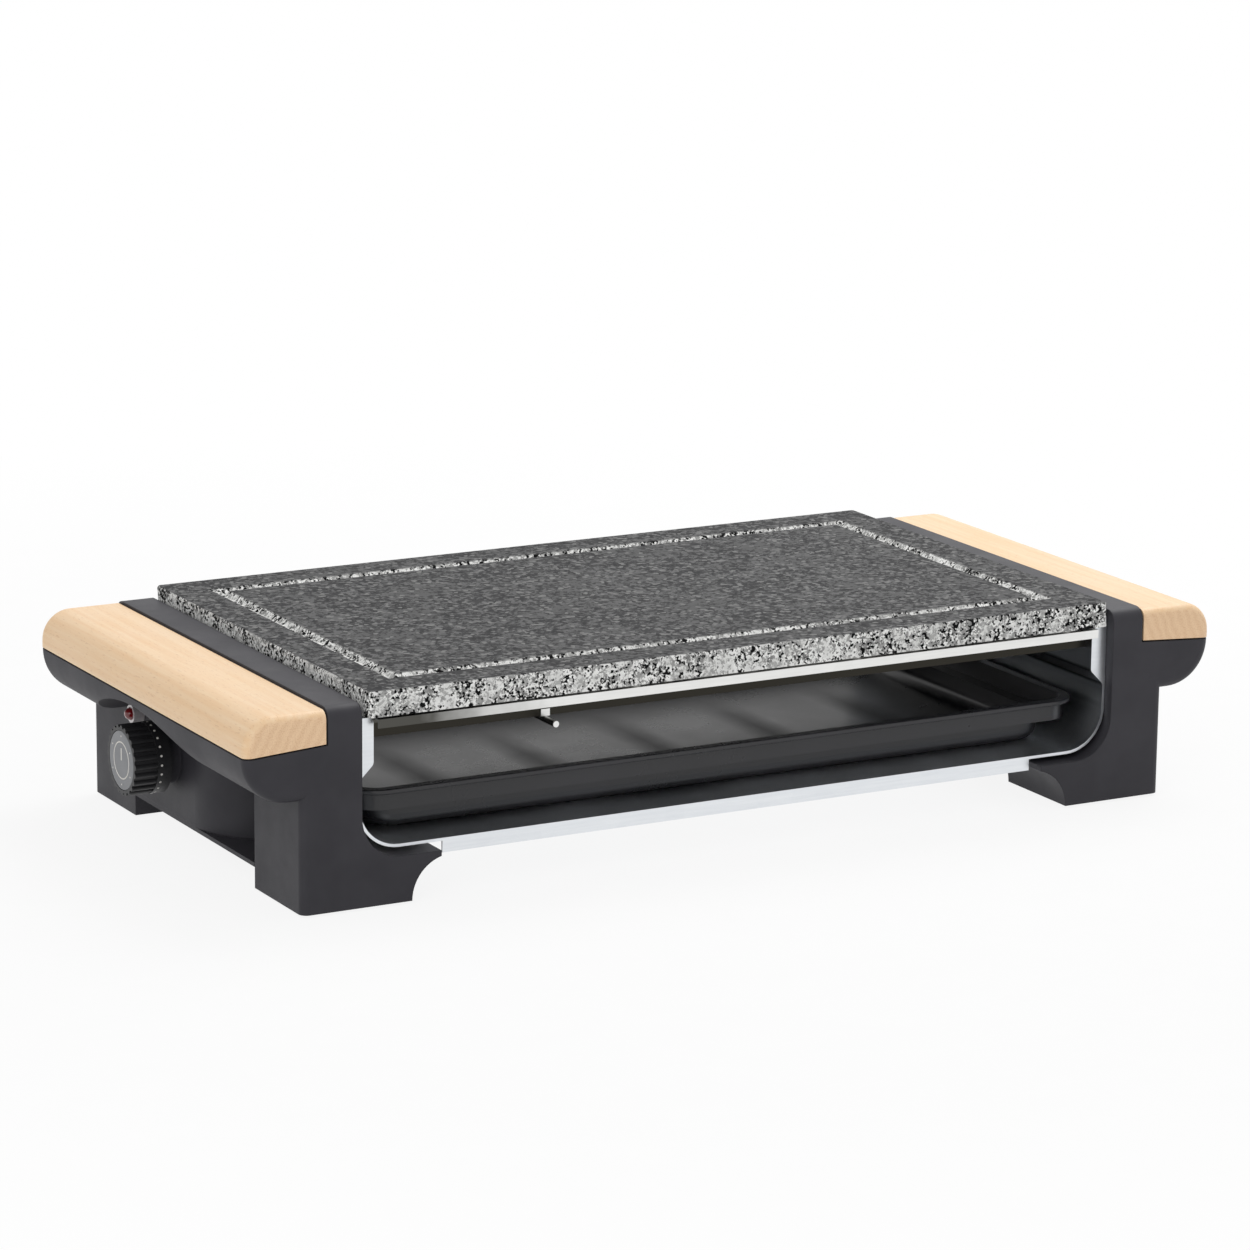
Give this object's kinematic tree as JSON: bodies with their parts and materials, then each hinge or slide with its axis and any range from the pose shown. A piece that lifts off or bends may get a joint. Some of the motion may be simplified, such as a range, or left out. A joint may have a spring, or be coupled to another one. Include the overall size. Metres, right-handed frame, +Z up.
{
  "type": "table grill",
  "caption": "Electric table grill: a grooved stone slab over a tubular heater and a slide-out drip tray, between moulded ends with beech handles and a knob.",
  "frame": {"origin": "middle of the plan, on the table top under the foot pads", "axes": "+X along the length towards the end without the knob, -Y to the front where the tray comes out, +Z up"},
  "size_m": [0.524, 0.24, 0.1014],
  "materials": {
    "housing_plastic": "charcoal moulded plastic with a fine matte grain",
    "cover_plastic": "black moulded plastic, matte",
    "beech": "light beech, oiled and smooth",
    "stone": "dark granite, honed on top with rough cut edges",
    "galvanised_sheet": "zinc-coated sheet, bluish grey with bright edges",
    "rail_steel": "plain pale steel",
    "heater_tube": "oxidised dark heater tube",
    "fastener_steel": "zinc-plated",
    "tray_enamel": "black non-stick coat, satin",
    "knob_plastic": "black plastic",
    "knob_disc": "grey disc with plain marks",
    "lamp_clear": "clear plastic sleeve",
    "lamp_red": "red translucent plastic",
    "rubber_black": "black rubber",
    "ceramic_white": "unglazed white ceramic",
    "brass_plain": "plain brass"
  },
  "bodies": {
    "base": {"left_housing": "housing_plastic", "right_housing": "housing_plastic", "left_bottom_cover": "cover_plastic", "right_bottom_cover": "cover_plastic", "cover_screws": "fastener_steel", "foot_pads": "rubber_black", "left_handle": "beech", "right_handle": "beech", "handle_screws": "fastener_steel", "reflector_trough": "galvanised_sheet", "trough_screws": "fastener_steel", "front_rail": "rail_steel", "rear_rail": "rail_steel", "element_rod": "rail_steel", "element_rest": "rail_steel", "heating_element": "heater_tube", "element_plates": "rail_steel", "element_terminals": "fastener_steel", "thermostat_body": "ceramic_white", "thermostat_nut": "brass_plain", "indicator_bezel": "lamp_clear", "indicator_lens": "lamp_red", "cord_gland": "rubber_black", "terminal_block": "ceramic_white"},
    "tray": {"drip_tray": "tray_enamel"},
    "stone": {"stone_slab": "stone"},
    "knob": {"knob": "knob_plastic", "knob_face": "knob_disc", "thermostat_shaft": "fastener_steel"}
  },
  "joints": [
    {"name": "tray_slide", "type": "slide", "parent": "base", "child": "tray", "axis": [0, -1, 0], "range_m": [0, 0.235]},
    {"name": "stone_lift", "type": "slide", "parent": "base", "child": "stone", "axis": [0, 0, 1], "range_m": [0, 0.06]},
    {"name": "knob_turn", "type": "hinge", "parent": "base", "child": "knob", "pos_m": [-0.245, 0.0275, 0.0415], "axis": [1, 0, 0], "range_deg": [0, 270]}
  ]
}
